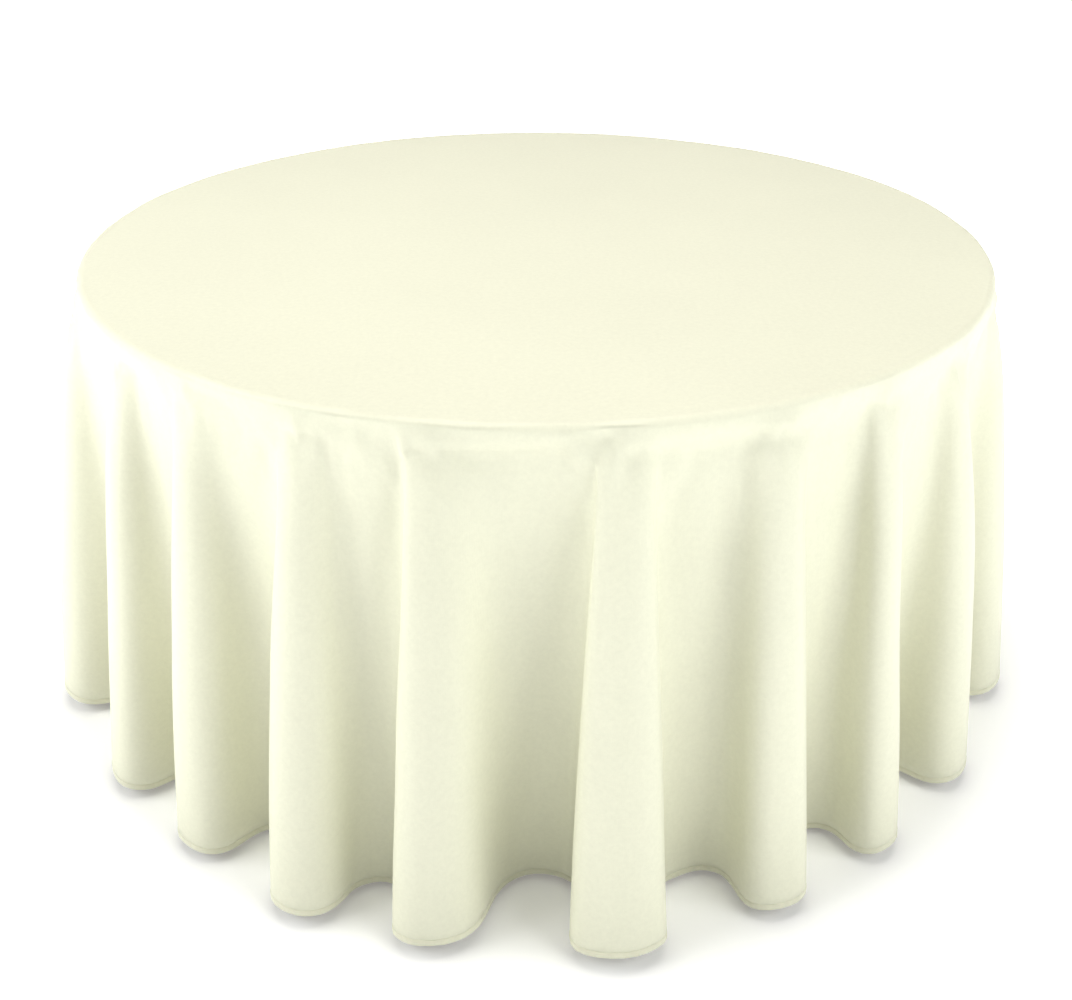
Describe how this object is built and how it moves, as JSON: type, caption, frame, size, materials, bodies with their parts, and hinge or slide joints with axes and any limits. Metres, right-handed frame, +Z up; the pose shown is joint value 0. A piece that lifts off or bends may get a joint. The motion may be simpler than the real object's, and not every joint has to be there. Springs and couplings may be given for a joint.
{
  "type": "tablecloth on a table",
  "caption": "Floor-length round tablecloth hanging in deep standing folds over a round folding banquet table with hinged leg frames.",
  "frame": {"origin": "on the floor under the middle of the round top", "axes": "+Z up, +X to the right and -Y to the front, where the front leg frame stands"},
  "size_m": [1.8488, 1.8466, 0.765],
  "materials": {
    "ivory_polyester": "satin",
    "hem_polyester": "satin",
    "plywood": "clear lacquer",
    "edge_vinyl": "semi-matte",
    "batten": "planed",
    "leg_paint": "hammered powder coat",
    "zinc_plate": "zinc plated",
    "screw_steel": "bright",
    "foot_rubber": "matt",
    "black_plastic": "matt"
  },
  "bodies": {
    "table": {"top_board": "plywood", "edge_moulding": "edge_vinyl", "runner_left": "batten", "runner_right": "batten", "runner_screws": "screw_steel", "pivot_clamps": "zinc_plate", "clamp_screws": "screw_steel", "brace_brackets": "zinc_plate", "bracket_screws": "screw_steel", "bracket_pins": "screw_steel"},
    "leg_frame_front": {"pivot_bar_front": "leg_paint", "bar_plugs_front": "black_plastic", "leg_front_left": "leg_paint", "leg_front_right": "leg_paint", "stretcher_front": "leg_paint", "foot_caps_front": "foot_rubber"},
    "leg_frame_back": {"pivot_bar_back": "leg_paint", "bar_plugs_back": "black_plastic", "leg_back_left": "leg_paint", "leg_back_right": "leg_paint", "stretcher_back": "leg_paint", "foot_caps_back": "foot_rubber"},
    "upper_link_front": {"brace_upper_front": "zinc_plate", "knee_rivet_front": "screw_steel"},
    "lower_link_front": {"brace_lower_front": "zinc_plate"},
    "upper_link_back": {"brace_upper_back": "zinc_plate", "knee_rivet_back": "screw_steel"},
    "lower_link_back": {"brace_lower_back": "zinc_plate"},
    "cloth": {"cloth_top": "ivory_polyester", "cloth_drop": "ivory_polyester", "cloth_hem": "hem_polyester"}
  },
  "joints": [
    {"name": "leg_fold_front", "type": "hinge", "parent": "table", "child": "leg_frame_front", "pos_m": [0, -0.43, 0.704], "axis": [1, 0, 0], "range_deg": [0, 90]},
    {"name": "leg_fold_back", "type": "hinge", "parent": "table", "child": "leg_frame_back", "pos_m": [0, 0.43, 0.704], "axis": [-1, 0, 0], "range_deg": [0, 84.5]},
    {"name": "brace_upper_fold_front", "type": "hinge", "parent": "table", "child": "upper_link_front", "pos_m": [0, -0.03, 0.728], "axis": [-1, 0, 0], "range_deg": [0, 39.02]},
    {"name": "brace_lower_fold_front", "type": "hinge", "parent": "leg_frame_front", "child": "lower_link_front", "pos_m": [0, -0.43, 0.404], "axis": [1, 0, 0], "range_deg": [0, 44.4]},
    {"name": "brace_upper_fold_back", "type": "hinge", "parent": "table", "child": "upper_link_back", "pos_m": [0, 0.03, 0.728], "axis": [1, 0, 0], "range_deg": [0, 39.02]},
    {"name": "brace_lower_fold_back", "type": "hinge", "parent": "leg_frame_back", "child": "lower_link_back", "pos_m": [0, 0.43, 0.404], "axis": [-1, 0, 0], "range_deg": [0, 42]},
    {"name": "cloth_lift", "type": "slide", "parent": "table", "child": "cloth", "axis": [0, 0, 1], "range_m": [0, 0.8]}
  ],
  "couplings": [
    {"joint": "brace_upper_fold_front", "follows": "leg_fold_front", "ratio": 0.43342},
    {"joint": "brace_lower_fold_front", "follows": "leg_fold_front", "ratio": 0.49299},
    {"joint": "brace_upper_fold_back", "follows": "leg_fold_back", "ratio": 0.46163},
    {"joint": "brace_lower_fold_back", "follows": "leg_fold_back", "ratio": 0.49642}
  ]
}
